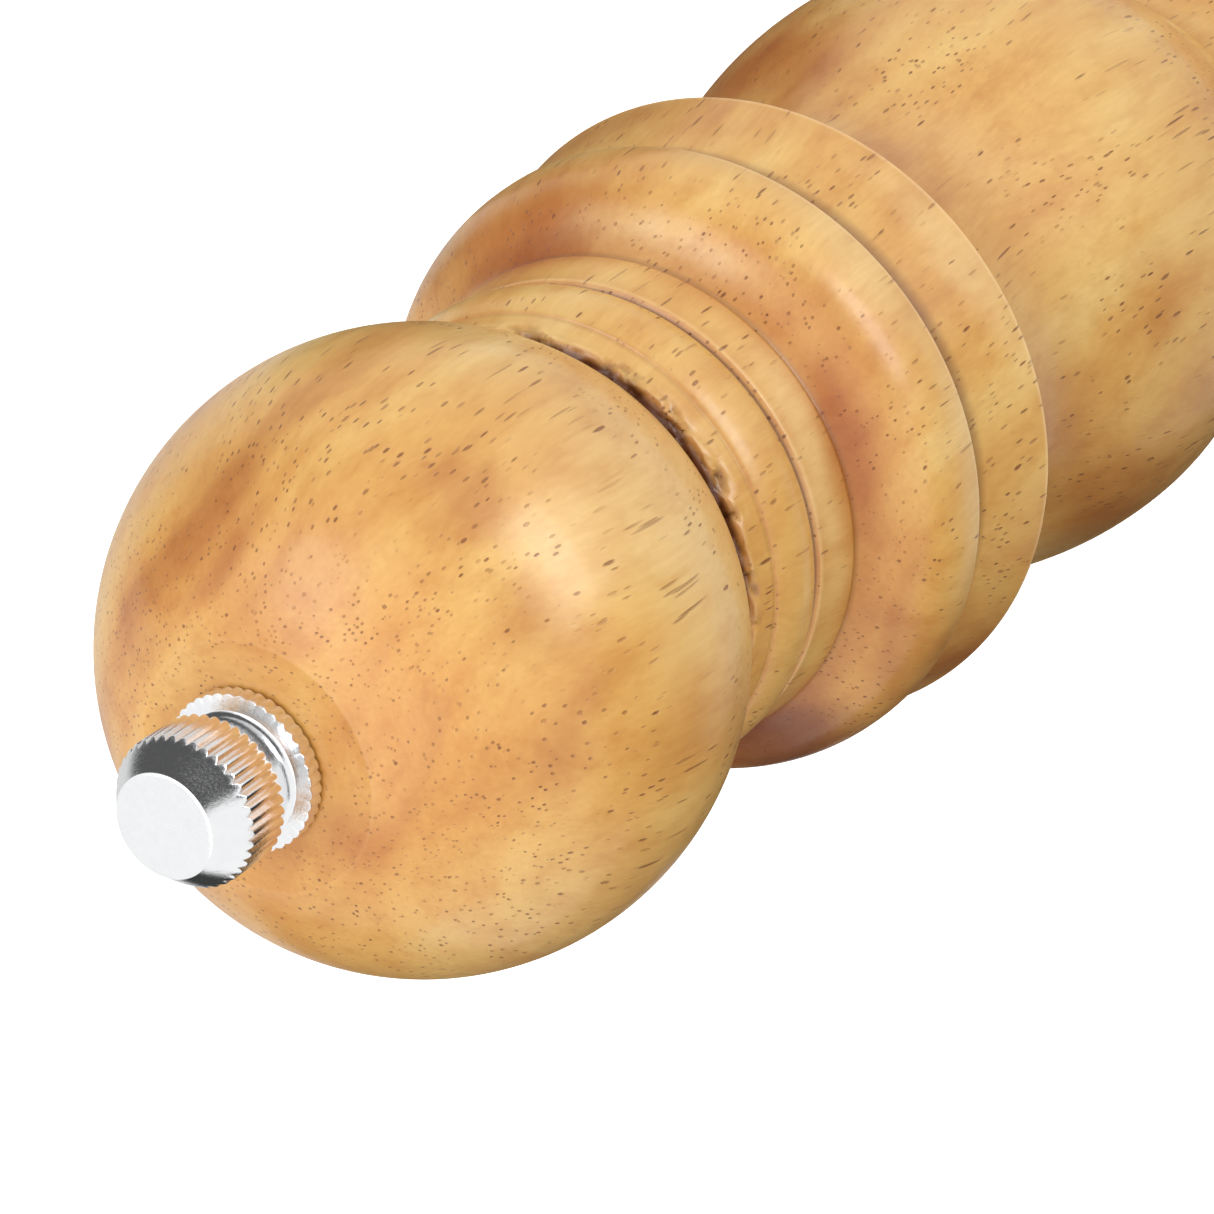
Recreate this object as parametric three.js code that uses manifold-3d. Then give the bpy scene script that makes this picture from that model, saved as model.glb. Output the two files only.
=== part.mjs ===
// A turned wooden pepper mill with a knurled metal knob, standing upright.
// Millimetres, +Z up along the mill's axis, origin at the middle of the foot's flat underside.
//
// The head turns on the body. It drives a square shaft, which turns the inner burr inside the
// outer burr. The knob is a nut on the shaft's threaded end: tightening it draws the shaft and
// the inner burr up against a spring, so the gap between the burrs closes and the grind is finer.
// The mill is drawn at its coarsest setting, with the shaft at the bottom of its travel.

import * as THREE from "three";
import { mergeVertices } from "three/addons/utils/BufferGeometryUtils.js";
import Module from "manifold-3d";

const wasm = await Module();
wasm.setup();

// ---------------------------------------------------------------- driving dimensions

const TOTAL_HEIGHT = 215;
const TRAVEL = 1.6; // how far the knob can draw the shaft up
const GAP = 0.2; // clearance between pieces that touch on the real mill
const TURNED_SIDES = 32; // facets round the large wooden parts
const SMALL_SIDES = 20; // facets round the small metal parts
const CURVE_STEPS = 6; // facets along each curve of an outline

const KNOB = {
  seatZ: 204.1, // underside, resting on the head
  flangeTopZ: 205.5,
  grooveTopZ: 208.4,
  coneZ: 212.4, // where the cone cuts the tips of the knurling
  faceRadius: 4.1,
  tipRadius: 5.95,
  rootRadius: 5.7,
  grooveRadius: 4.5,
  flangeTipRadius: 6.25,
  flangeRootRadius: 6,
  teeth: 40,
  boreRadius: 2.6,
};

const BALL = { radius: 25, halfHeight: 24.8, centreZ: 181 };

const HEAD = {
  boreRadius: 4.2,
  seatRadius: 6.5, // flat spot under the knob
  creaseRadius: 10.3, // where the flattened top meets the ball
  undercutRadius: 19.4, // where the ball stops above the neck
  bottomZ: 139.1,
  tenonRadius: 13.2,
  tenonZ: 126.5,
};

const BODY = {
  topZ: 138.5,
  socketRadius: 13.6, // takes the head's tenon
  socketZ: 121.5,
  chamberRadius: 12.5, // holds the peppercorns
  burrSeatZ: 18.7,
  burrSeatRadius: 18,
  outletZ: 4.5, // shallow recess in the foot
  outletRadius: 24,
  footRadius: 28.6,
};

const SHAFT = {
  width: 5,
  cornerCut: 0.6,
  squareBottomZ: 5.9,
  squareTopZ: 199,
  threadRadius: 2.4,
  threadTopZ: 211,
  journalRadius: 2.4,
  journalZ: 1.6,
  grooveRadius: 1.8,
};
const KEYED_HOLE = SHAFT.width + 0.3; // square holes that ride on the shaft
const KNOB_BORE_TOP_Z = SHAFT.threadTopZ + TRAVEL + 0.5;

const BURR = { bottomZ: 5, waistZ: 10.7, topZ: 13.6, teeth: 20, toothDepth: 0.8 };
const OUTER_BURR = { bottomZ: 4.7, waistZ: 10.4, topZ: 16.7, radius: 17.7 };
const BURR_SLOPE = 2.5 / 5.7; // radius lost per mm of height, the same on both burrs
const POCKET = { radius: 6.3, floorZ: 9.2 }; // spring pocket in the inner burr

const BRIDGE = { bottomZ: 17, thickness: 1.4, radius: 17.7, hubRadius: 6.4, windowRadius: 15.2 };
const BUSH = { radius: 4.4, flangeRadius: 6, flangeZ: 15.6, flangeTopZ: 16.8, topZ: 22 };
const SPRING = { meanRadius: 5, wireRadius: 0.5, bottomZ: 9.4, topZ: 14.5, turns: 3 };

const BAR = { bottomZ: 3, thickness: 1.3, length: 46, width: 7, screwX: 20.8 };
const PLATE = { thickness: 1.5, radius: 12.6, screwCircle: 8.6 };
const STATOR_PIN = { radius: 1, hole: 1.25, bottomZ: 9, topZ: 15, circle: 17.85 };

// ---------------------------------------------------------------- materials

const WOOD = new THREE.MeshStandardMaterial({ color: 0xd9a566, roughness: 0.42, metalness: 0 });
const CHROME = new THREE.MeshStandardMaterial({ color: 0xe6e8ea, roughness: 0.08, metalness: 1 });
const STEEL = new THREE.MeshStandardMaterial({ color: 0xb4b6b8, roughness: 0.35, metalness: 1 });
const BURR_STEEL = new THREE.MeshStandardMaterial({ color: 0x6f7175, roughness: 0.5, metalness: 1 });
const NYLON = new THREE.MeshStandardMaterial({ color: 0xe9e6dc, roughness: 0.55, metalness: 0 });

// ---------------------------------------------------------------- shape helpers

// A closed outline in (radius, height), revolved about Z.
function turned(outline, sides = SMALL_SIDES) {
  const geometry = new THREE.LatheGeometry(outline.getPoints(CURVE_STEPS), sides);
  return geometry.rotateX(Math.PI / 2);
}

// A closed outline through straight-line corners, given as [radius, height] pairs.
function corners(points) {
  const path = new THREE.Path();
  path.moveTo(...points[0]);
  for (const point of points.slice(1)) path.lineTo(...point);
  path.closePath();
  return path;
}

function cylinder(radius, bottomZ, topZ, sides = SMALL_SIDES) {
  const outline = [[0, bottomZ], [radius, bottomZ], [radius, topZ], [0, topZ]];
  return turned(corners(outline), sides);
}

function ring(innerRadius, outerRadius, bottomZ, topZ, sides = SMALL_SIDES) {
  const outline = [
    [innerRadius, bottomZ],
    [outerRadius, bottomZ],
    [outerRadius, topZ],
    [innerRadius, topZ],
  ];
  return turned(corners(outline), sides);
}

// A flat shape pushed up from bottomZ.
function plate(shape, bottomZ, thickness) {
  const options = { depth: thickness, bevelEnabled: false, curveSegments: 10 };
  return new THREE.ExtrudeGeometry(shape, options).translate(0, 0, bottomZ);
}

function circle(radius, x = 0, y = 0) {
  return new THREE.Shape().absarc(x, y, radius, 0, 2 * Math.PI);
}

// A square with cut corners, centred on the axis.
function square(width, cut = 0) {
  const half = width / 2;
  const inner = half - cut;
  const shape = new THREE.Shape();
  shape.moveTo(half, -inner);
  for (let quarter = 0; quarter < 4; quarter++) {
    const turn = (quarter * Math.PI) / 2;
    for (const [x, y] of [[half, inner], [inner, half]]) {
      shape.lineTo(
        x * Math.cos(turn) - y * Math.sin(turn),
        x * Math.sin(turn) + y * Math.cos(turn),
      );
    }
  }
  return shape;
}

// A round bar with V-shaped teeth cut along it.
function toothedCircle(teeth, tipRadius, rootRadius) {
  const shape = new THREE.Shape();
  for (let i = 0; i < 2 * teeth; i++) {
    const angle = (i * Math.PI) / teeth;
    const radius = i % 2 ? rootRadius : tipRadius;
    const point = [radius * Math.cos(angle), radius * Math.sin(angle)];
    if (i === 0) shape.moveTo(...point);
    else shape.lineTo(...point);
  }
  shape.closePath();
  return shape;
}

// A solid whose toothed section changes with height: levels are { z, tip, root, twist }.
function toothedCone(levels, teeth) {
  const around = 2 * teeth;
  const positions = [];
  for (const { z, tip, root, twist } of levels) {
    for (let i = 0; i < around; i++) {
      const angle = (i * Math.PI) / teeth + twist;
      const radius = i % 2 ? root : tip;
      positions.push(radius * Math.cos(angle), radius * Math.sin(angle), z);
    }
  }
  const bottomCentre = positions.length / 3;
  const topCentre = bottomCentre + 1;
  positions.push(0, 0, levels[0].z, 0, 0, levels.at(-1).z);

  const faces = [];
  for (let i = 0; i < around; i++) {
    const next = (i + 1) % around;
    for (let level = 0; level < levels.length - 1; level++) {
      const low = level * around;
      const high = low + around;
      faces.push(low + i, low + next, high + next, low + i, high + next, high + i);
    }
    const top = (levels.length - 1) * around;
    faces.push(bottomCentre, next, i, topCentre, top + i, top + next);
  }
  const geometry = new THREE.BufferGeometry();
  geometry.setAttribute("position", new THREE.Float32BufferAttribute(positions, 3));
  geometry.setIndex(faces);
  return geometry;
}

function toSolid(geometry) {
  const bare = geometry.clone();
  bare.deleteAttribute("normal");
  bare.deleteAttribute("uv");
  const merged = mergeVertices(bare, 1e-4);
  const mesh = new wasm.Mesh({
    numProp: 3,
    vertProperties: new Float32Array(merged.attributes.position.array),
    triVerts: new Uint32Array(merged.index.array),
  });
  return new wasm.Manifold(mesh);
}

function toGeometry(solid) {
  const mesh = solid.getMesh();
  const geometry = new THREE.BufferGeometry();
  geometry.setAttribute("position", new THREE.BufferAttribute(mesh.vertProperties, 3));
  geometry.setIndex(new THREE.BufferAttribute(mesh.triVerts, 1));
  return geometry;
}

function cut(geometry, ...tools) {
  let solid = toSolid(geometry);
  for (const tool of tools) solid = solid.subtract(toSolid(tool));
  return toGeometry(solid);
}

function join(...geometries) {
  let solid = toSolid(geometries[0]);
  for (const geometry of geometries.slice(1)) solid = solid.add(toSolid(geometry));
  return toGeometry(solid);
}

function keyedHole(bottomZ, topZ) {
  return plate(square(KEYED_HOLE), bottomZ - 1, topZ - bottomZ + 2);
}

// A pan-head wood screw pointing up, with its head's top face down at headZ.
function screw({ headRadius, headHeight, shankRadius, length, headZ }) {
  const seatZ = headZ + headHeight;
  const tipZ = seatZ + length;
  const outline = new THREE.Path();
  outline.moveTo(0, headZ);
  outline.lineTo(headRadius * 0.55, headZ);
  outline.quadraticCurveTo(headRadius, headZ, headRadius, seatZ);
  outline.lineTo(shankRadius, seatZ);
  outline.lineTo(shankRadius, tipZ - 2 * shankRadius);
  outline.lineTo(0, tipZ);
  const recessDepth = 0.6 * headHeight;
  const slotLength = 1.15 * headRadius;
  const slotWidth = 0.26 * headRadius;
  const alongX = new THREE.BoxGeometry(slotLength, slotWidth, 2 * recessDepth);
  const alongY = new THREE.BoxGeometry(slotWidth, slotLength, 2 * recessDepth);
  return cut(
    turned(outline, 12),
    alongX.translate(0, 0, headZ),
    alongY.translate(0, 0, headZ),
  );
}

// ---------------------------------------------------------------- turned wood

function headOutline() {
  const lowerAngle = -Math.acos(HEAD.undercutRadius / BALL.radius);
  const upperAngle = Math.acos(HEAD.creaseRadius / BALL.radius);
  const outline = new THREE.Path();
  outline.moveTo(HEAD.boreRadius, HEAD.tenonZ);
  outline.lineTo(HEAD.tenonRadius - 0.5, HEAD.tenonZ);
  outline.lineTo(HEAD.tenonRadius, HEAD.tenonZ + 0.5);
  outline.lineTo(HEAD.tenonRadius, HEAD.bottomZ);
  outline.lineTo(26.5, HEAD.bottomZ);
  outline.lineTo(26.7, HEAD.bottomZ + 0.3); // crisp lower edge of the skirt
  outline.bezierCurveTo(26.8, 142.2, 26.2, 144.9, 24.3, 146.4); // rounded skirt
  outline.bezierCurveTo(23.1, 147.4, 21.7, 148.1, 20.7, 149.6); // cove up to the collar
  outline.lineTo(20.9, 150.1); // collar with a crisp edge
  outline.lineTo(20.3, 154.4);
  outline.lineTo(19.5, 154.8); // groove beside the bead
  outline.bezierCurveTo(21.3, 156.6, 20.9, 159.2, 19.9, 160.7); // small bead
  outline.lineTo(19.3, 163.2);
  outline.lineTo(17.8, 164); // narrow neck under the ball
  outline.lineTo(17.5, 165.1);
  outline.absellipse(0, BALL.centreZ, BALL.radius, BALL.halfHeight, lowerAngle, upperAngle);
  outline.lineTo(HEAD.seatRadius, KNOB.seatZ - GAP);
  outline.lineTo(HEAD.boreRadius, KNOB.seatZ - GAP);
  outline.closePath();
  return outline;
}

function bodyOutline() {
  const outline = new THREE.Path();
  outline.moveTo(BODY.outletRadius, 0);
  outline.lineTo(BODY.footRadius, 0);
  outline.lineTo(29.6, 0.9);
  outline.bezierCurveTo(31, 4, 31, 10, 29.4, 14); // rounded foot
  outline.lineTo(28, 15);
  outline.lineTo(27.2, 16.2);
  outline.bezierCurveTo(21, 20.5, 17.4, 28, 17.2, 40.5); // flare
  outline.lineTo(18, 41.4);
  outline.bezierCurveTo(20.6, 43.2, 20.6, 48.2, 18, 50); // bead above the flare
  outline.lineTo(16.9, 50.8);
  outline.bezierCurveTo(15.9, 53.6, 15.7, 57, 16.2, 59.2); // waist
  outline.lineTo(17.2, 60.5);
  outline.bezierCurveTo(19.6, 68, 27.4, 76, 27.4, 88); // bulb, lower half
  outline.bezierCurveTo(27.4, 101.5, 22.5, 108.5, 21.8, 115); // bulb, upper half
  outline.bezierCurveTo(21.6, 120, 23, 124, 26.2, 127.4); // cove under the shoulder ring
  outline.lineTo(27.5, 128.4);
  outline.bezierCurveTo(27, 131.2, 26.2, 134.8, 25.1, BODY.topZ); // shoulder ring
  outline.lineTo(BODY.socketRadius, BODY.topZ);
  outline.lineTo(BODY.socketRadius, BODY.socketZ);
  outline.lineTo(BODY.chamberRadius, BODY.socketZ - 1);
  outline.lineTo(BODY.chamberRadius, BODY.burrSeatZ);
  outline.lineTo(BODY.burrSeatRadius, BODY.burrSeatZ);
  outline.lineTo(BODY.burrSeatRadius, BODY.outletZ);
  outline.lineTo(BODY.outletRadius, BODY.outletZ);
  outline.closePath();
  return outline;
}

const PLATE_SCREW = {
  headRadius: 2.1,
  headHeight: 1.3,
  shankRadius: 1,
  length: 9,
  headZ: HEAD.tenonZ - PLATE.thickness - 2 * GAP - 1.3,
};
const BAR_SCREW = {
  headRadius: 2.7,
  headHeight: 1.5,
  shankRadius: 1.2,
  length: 9,
  headZ: BAR.bottomZ - GAP - 1.5,
};
const PLATE_SCREW_ANGLES = [90, 210, 330].map(THREE.MathUtils.degToRad);
const BAR_SCREW_X = [-BAR.screwX, BAR.screwX];
const STATOR_PIN_Y = [-STATOR_PIN.circle, STATOR_PIN.circle];

function pilotHole({ shankRadius, length, headHeight, headZ }) {
  const seatZ = headZ + headHeight;
  return cylinder(shankRadius + 0.15, seatZ - 0.5, seatZ + length + 0.5, 12);
}

function headWood() {
  const holes = PLATE_SCREW_ANGLES.map((angle) =>
    pilotHole(PLATE_SCREW).translate(
      PLATE.screwCircle * Math.cos(angle),
      PLATE.screwCircle * Math.sin(angle),
      0,
    ),
  );
  return cut(turned(headOutline(), TURNED_SIDES), ...holes);
}

function bodyWood() {
  const screwHoles = BAR_SCREW_X.map((x) => pilotHole(BAR_SCREW).translate(x, 0, 0));
  return cut(turned(bodyOutline(), TURNED_SIDES), ...screwHoles, ...statorPinHoles());
}

// ---------------------------------------------------------------- knob and shaft

function finialNut() {
  const upper = plate(
    toothedCircle(KNOB.teeth, KNOB.tipRadius, KNOB.rootRadius),
    KNOB.grooveTopZ,
    TOTAL_HEIGHT - KNOB.grooveTopZ,
  );
  const flange = plate(
    toothedCircle(KNOB.teeth, KNOB.flangeTipRadius, KNOB.flangeRootRadius),
    KNOB.seatZ,
    KNOB.flangeTopZ - KNOB.seatZ,
  );
  const envelope = corners([
    [0, KNOB.seatZ - 1],
    [KNOB.flangeTipRadius + 1, KNOB.seatZ - 1],
    [KNOB.flangeTipRadius + 1, KNOB.grooveTopZ],
    [KNOB.tipRadius, KNOB.coneZ],
    [KNOB.faceRadius, TOTAL_HEIGHT],
    [0, TOTAL_HEIGHT],
  ]);
  const neck = cylinder(KNOB.grooveRadius, KNOB.seatZ + 0.5, KNOB.grooveTopZ + 0.5);
  const knurled = toSolid(join(upper, neck, flange));
  const shaped = toGeometry(knurled.intersect(toSolid(turned(envelope, 36))));
  return cut(shaped, cylinder(KNOB.boreRadius, KNOB.seatZ - 1, KNOB_BORE_TOP_Z));
}

function driveShaft() {
  const square5 = plate(
    square(SHAFT.width, SHAFT.cornerCut),
    SHAFT.squareBottomZ,
    SHAFT.squareTopZ - SHAFT.squareBottomZ,
  );
  const thread = turned(
    corners([
      [0, SHAFT.squareTopZ - 1],
      [SHAFT.threadRadius, SHAFT.squareTopZ - 1],
      [SHAFT.threadRadius, SHAFT.threadTopZ - 0.6],
      [SHAFT.threadRadius - 0.6, SHAFT.threadTopZ],
      [0, SHAFT.threadTopZ],
    ]),
    20,
  );
  const journal = turned(
    corners([
      [0, SHAFT.journalZ],
      [SHAFT.journalRadius - 0.3, SHAFT.journalZ],
      [SHAFT.journalRadius, SHAFT.journalZ + 0.3],
      [SHAFT.journalRadius, 4.95],
      [SHAFT.grooveRadius, 4.95],
      [SHAFT.grooveRadius, 5.85],
      [SHAFT.journalRadius, 5.85],
      [SHAFT.journalRadius, SHAFT.squareBottomZ + 1],
      [0, SHAFT.squareBottomZ + 1],
    ]),
    20,
  );
  return join(square5, thread, journal);
}

// ---------------------------------------------------------------- head fittings

function turnPlate() {
  const shape = circle(PLATE.radius);
  shape.holes.push(square(KEYED_HOLE));
  for (const angle of PLATE_SCREW_ANGLES) {
    const x = PLATE.screwCircle * Math.cos(angle);
    const y = PLATE.screwCircle * Math.sin(angle);
    shape.holes.push(circle(PLATE_SCREW.shankRadius + 0.2, x, y));
  }
  return plate(shape, HEAD.tenonZ - GAP - PLATE.thickness, PLATE.thickness);
}

// ---------------------------------------------------------------- grinder

function innerBurr() {
  const wide = 13.85; // tooth tips at the bottom edge
  const waist = wide - BURR_SLOPE * (BURR.waistZ - BURR.bottomZ);
  const depth = BURR.toothDepth;
  const cone = toothedCone(
    [
      { z: BURR.bottomZ, tip: wide, root: wide - depth, twist: 0 },
      { z: BURR.waistZ, tip: waist, root: waist - depth, twist: 0.25 },
      { z: BURR.topZ, tip: 8.2, root: 7.5, twist: 0.5 },
    ],
    BURR.teeth,
  );
  const pocket = cylinder(POCKET.radius, POCKET.floorZ, BURR.topZ + 1);
  const underside = cylinder(8, BURR.bottomZ - 1, 7);
  return cut(cone, pocket, underside, keyedHole(6, 11));
}

function statorPinHoles() {
  return STATOR_PIN_Y.map((y) =>
    cylinder(STATOR_PIN.hole, STATOR_PIN.bottomZ, STATOR_PIN.topZ + 5, 16).translate(0, y, 0),
  );
}

function outerBurr() {
  const waist = 12.5; // tooth tips at the narrowest level
  const wide = waist + BURR_SLOPE * (OUTER_BURR.waistZ - OUTER_BURR.bottomZ);
  const depth = BURR.toothDepth;
  const overrun = 1; // the cutter runs past both faces
  const hollow = toothedCone(
    [
      {
        z: OUTER_BURR.bottomZ - overrun,
        tip: wide + BURR_SLOPE * overrun + depth,
        root: wide + BURR_SLOPE * overrun,
        twist: -0.05,
      },
      { z: OUTER_BURR.waistZ, tip: waist + depth, root: waist, twist: 0.2 },
      { z: OUTER_BURR.topZ + overrun, tip: waist + 1.6, root: waist + 1.2, twist: 0.4 },
    ],
    BURR.teeth + 4,
  );
  const blank = cylinder(OUTER_BURR.radius, OUTER_BURR.bottomZ, OUTER_BURR.topZ, 40);
  return cut(blank, hollow, ...statorPinHoles());
}

// A flat spider: a rim and a hub joined by three arms.
function burrBridge() {
  const shape = circle(BRIDGE.radius);
  shape.holes.push(circle(BUSH.radius + GAP));
  const arms = 3;
  const halfArm = 0.16; // half of an arm's width, in radians at the rim
  for (let i = 0; i < arms; i++) {
    const start = Math.PI / 3 + (i * 2 * Math.PI) / arms + halfArm;
    const end = start + (2 * Math.PI) / arms - 2 * halfArm;
    const inset = 0.22; // the arms widen towards the hub
    const window = new THREE.Path();
    window.absarc(0, 0, BRIDGE.windowRadius, start, end);
    window.absarc(0, 0, BRIDGE.hubRadius, end - inset, start + inset, true);
    window.closePath();
    shape.holes.push(window);
  }
  return plate(shape, BRIDGE.bottomZ, BRIDGE.thickness);
}

function guideBush() {
  const outline = corners([
    [0, BUSH.flangeZ],
    [BUSH.flangeRadius, BUSH.flangeZ],
    [BUSH.flangeRadius, BUSH.flangeTopZ],
    [BUSH.radius, BUSH.flangeTopZ],
    [BUSH.radius, BUSH.topZ - 0.4],
    [BUSH.radius - 0.4, BUSH.topZ],
    [0, BUSH.topZ],
  ]);
  return cut(turned(outline), keyedHole(BUSH.flangeZ, BUSH.topZ));
}

class Helix extends THREE.Curve {
  getPoint(t, target = new THREE.Vector3()) {
    const angle = 2 * Math.PI * SPRING.turns * t;
    const low = SPRING.bottomZ + SPRING.wireRadius;
    const high = SPRING.topZ - SPRING.wireRadius;
    return target.set(
      SPRING.meanRadius * Math.cos(angle),
      SPRING.meanRadius * Math.sin(angle),
      low + (high - low) * t,
    );
  }
}

function grinderSpring() {
  const section = new THREE.Shape();
  const sides = 8;
  for (let i = 0; i < sides; i++) {
    const angle = (i * 2 * Math.PI) / sides;
    const point = [SPRING.wireRadius * Math.cos(angle), SPRING.wireRadius * Math.sin(angle)];
    if (i === 0) section.moveTo(...point);
    else section.lineTo(...point);
  }
  section.closePath();
  return new THREE.ExtrudeGeometry(section, {
    steps: 20 * SPRING.turns,
    extrudePath: new Helix(),
    bevelEnabled: false,
  });
}

function retainingBar() {
  const straight = BAR.length / 2 - BAR.width / 2;
  const shape = new THREE.Shape();
  shape.absarc(straight, 0, BAR.width / 2, -Math.PI / 2, Math.PI / 2);
  shape.absarc(-straight, 0, BAR.width / 2, Math.PI / 2, (3 * Math.PI) / 2);
  shape.closePath();
  shape.holes.push(circle(SHAFT.journalRadius + 0.15));
  for (const x of BAR_SCREW_X) shape.holes.push(circle(BAR_SCREW.shankRadius + 0.2, x));
  return plate(shape, BAR.bottomZ, BAR.thickness);
}

// An open ring that snaps into the groove near the shaft's lower end.
function burrClip() {
  const opening = 0.6; // half of the mouth, in radians
  const shape = new THREE.Shape();
  shape.absarc(0, 0, 4.1, opening, 2 * Math.PI - opening);
  shape.absarc(0, 0, SHAFT.grooveRadius + 0.15, 2 * Math.PI - opening, opening, true);
  shape.closePath();
  return plate(shape, 5.05, 0.7);
}

// ---------------------------------------------------------------- assembly

const mill = new THREE.Group();

function add(parent, name, geometry, material) {
  const mesh = new THREE.Mesh(geometry, material);
  mesh.name = name;
  parent.add(mesh);
  return mesh;
}

const base = new THREE.Group(); // stands still
add(base, "body_wood", bodyWood(), WOOD);
add(base, "glide_washer", ring(14.6, 22, 138.6, 139, 32), NYLON);
add(base, "outer_burr", outerBurr(), BURR_STEEL);
add(base, "burr_bridge", burrBridge(), STEEL);
add(base, "retaining_bar", retainingBar(), STEEL);
BAR_SCREW_X.forEach((x, i) => {
  add(base, `bar_screw_${i + 1}`, screw(BAR_SCREW), STEEL).position.x = x;
});
STATOR_PIN_Y.forEach((y, i) => {
  const pin = cylinder(STATOR_PIN.radius, STATOR_PIN.bottomZ + GAP, STATOR_PIN.topZ, 16);
  add(base, `outer_burr_pin_${i + 1}`, pin, STEEL).position.y = y;
});

const guide = new THREE.Group(); // turns with the shaft, at a fixed height
add(guide, "guide_bush", guideBush(), NYLON);
add(guide, "spring_washer", ring(3.9, 5.9, 14.7, 15.4), STEEL);
add(guide, "grinder_spring", grinderSpring(), STEEL);

const spindle = new THREE.Group(); // turns with the head and rises with the knob's thread
add(spindle, "drive_shaft", driveShaft(), STEEL);
add(spindle, "inner_burr", innerBurr(), BURR_STEEL);
add(spindle, "thrust_washer", cut(cylinder(5.6, 5.95, 6.8), keyedHole(5.95, 6.8)), STEEL);
add(spindle, "burr_clip", burrClip(), STEEL);

const head = new THREE.Group(); // turned by hand, lifts off for filling
add(head, "head_wood", headWood(), WOOD);
add(head, "turn_plate", turnPlate(), STEEL);
PLATE_SCREW_ANGLES.forEach((angle, i) => {
  const mesh = add(head, `turn_plate_screw_${i + 1}`, screw(PLATE_SCREW), STEEL);
  mesh.position.set(PLATE.screwCircle * Math.cos(angle), PLATE.screwCircle * Math.sin(angle), 0);
});

const knob = new THREE.Group(); // turned to set the grind
add(knob, "finial_nut", finialNut(), CHROME);

mill.add(base, guide, spindle, head, knob);

export default mill;
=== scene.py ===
"""Looks for the pepper mill: turned wood, chrome knob, steel grinder, studio and camera.

Outlines are in millimetres, as (radius, height) about the mill's axis. Blender objects are in metres.
"""

import math

import bmesh
import bpy
import numpy as np
from mathutils import Matrix, Vector, noise


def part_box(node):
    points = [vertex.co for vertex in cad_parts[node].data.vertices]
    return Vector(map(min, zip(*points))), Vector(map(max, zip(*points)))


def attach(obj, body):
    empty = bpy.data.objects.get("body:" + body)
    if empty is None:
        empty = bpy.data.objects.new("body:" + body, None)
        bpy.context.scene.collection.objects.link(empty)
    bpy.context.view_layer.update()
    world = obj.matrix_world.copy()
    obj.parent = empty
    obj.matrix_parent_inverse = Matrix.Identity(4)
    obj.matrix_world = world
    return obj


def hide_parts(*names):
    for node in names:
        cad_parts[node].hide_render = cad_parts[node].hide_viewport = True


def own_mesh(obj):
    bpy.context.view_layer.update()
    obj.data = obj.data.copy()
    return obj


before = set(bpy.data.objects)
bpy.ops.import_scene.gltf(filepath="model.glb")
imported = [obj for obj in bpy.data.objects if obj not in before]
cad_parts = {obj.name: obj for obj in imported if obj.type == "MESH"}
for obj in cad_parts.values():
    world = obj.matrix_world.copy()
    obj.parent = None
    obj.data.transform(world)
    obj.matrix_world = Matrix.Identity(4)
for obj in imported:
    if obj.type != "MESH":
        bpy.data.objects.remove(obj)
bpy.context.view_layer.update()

MM = 0.001

# ---------------------------------------------------------------- driving dimensions, in mm

TOTAL_HEIGHT = 215
BALL = {"radius": 25, "half_height": 24.8, "centre": 181}
CREASE_RADIUS = 10.3  # where the flattened top meets the ball
UNDERCUT_RADIUS = 19.4  # where the ball stops above the neck
HEAD_BOTTOM = 139.1
BODY_TOP = 138.5
EDGE = 0.14  # how far a crisp wooden edge is rounded
OFF_CENTRE = 0.4  # the ball is turned this far off the axis, towards -X
SIDES = 256  # round the large wooden pieces


# ---------------------------------------------------------------- outlines

class Outline:
    """A profile in (radius, height), sampled along straight and curved stretches."""

    def __init__(self, radius, height, step=0.5):
        self.points = [(radius, height)]
        self.step = step

    def line(self, radius, height, step=None):
        start = np.array(self.points[-1])
        end = np.array((radius, height))
        count = max(1, round(np.linalg.norm(end - start) / (step or self.step)))
        for i in range(1, count + 1):
            self.points.append(tuple(start + (end - start) * i / count))
        return self

    def curve(self, first, second, end):
        """A cubic Bezier stretch with two control points."""
        a, b, c, d = (np.array(p, float) for p in (self.points[-1], first, second, end))
        length = np.linalg.norm(b - a) + np.linalg.norm(c - b) + np.linalg.norm(d - c)
        count = max(4, round(length / self.step))
        for i in range(1, count + 1):
            t = i / count
            s = 1 - t
            self.points.append(tuple(s**3 * a + 3 * s * s * t * b + 3 * s * t * t * c + t**3 * d))
        return self

    def ellipse(self, radius, half_height, centre, start, end):
        """An arc of an ellipse on the axis, between two angles from the horizontal."""
        count = round(radius * (end - start) / self.step)
        for i in range(count + 1):
            angle = start + (end - start) * i / count
            self.points.append(
                (radius * math.cos(angle), centre + half_height * math.sin(angle))
            )
        return self

    def rounded(self, size, limit=20):
        """Corners sharper than limit degrees become small arcs."""
        points = [np.array(p, float) for p in self.points]
        count = len(points)
        result = []
        for i, here in enumerate(points):
            back = points[i - 1] - here
            ahead = points[(i + 1) % count] - here
            gap_back = np.linalg.norm(back)
            gap_ahead = np.linalg.norm(ahead)
            if gap_back < 1e-6:
                continue
            bend = math.pi - math.acos(
                max(-1, min(1, float(back @ ahead) / (gap_back * gap_ahead + 1e-12)))
            )
            if math.degrees(bend) < limit or here[0] < 1e-6:
                result.append(here)
                continue
            reach = min(size, 0.45 * gap_back, 0.45 * gap_ahead)
            first = here + back / gap_back * reach
            last = here + ahead / gap_ahead * reach
            for t in (0, 0.33, 0.67, 1):
                result.append((1 - t) ** 2 * first + 2 * t * (1 - t) * here + t * t * last)
        self.points = [tuple(p) for p in result]
        return self


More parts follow.
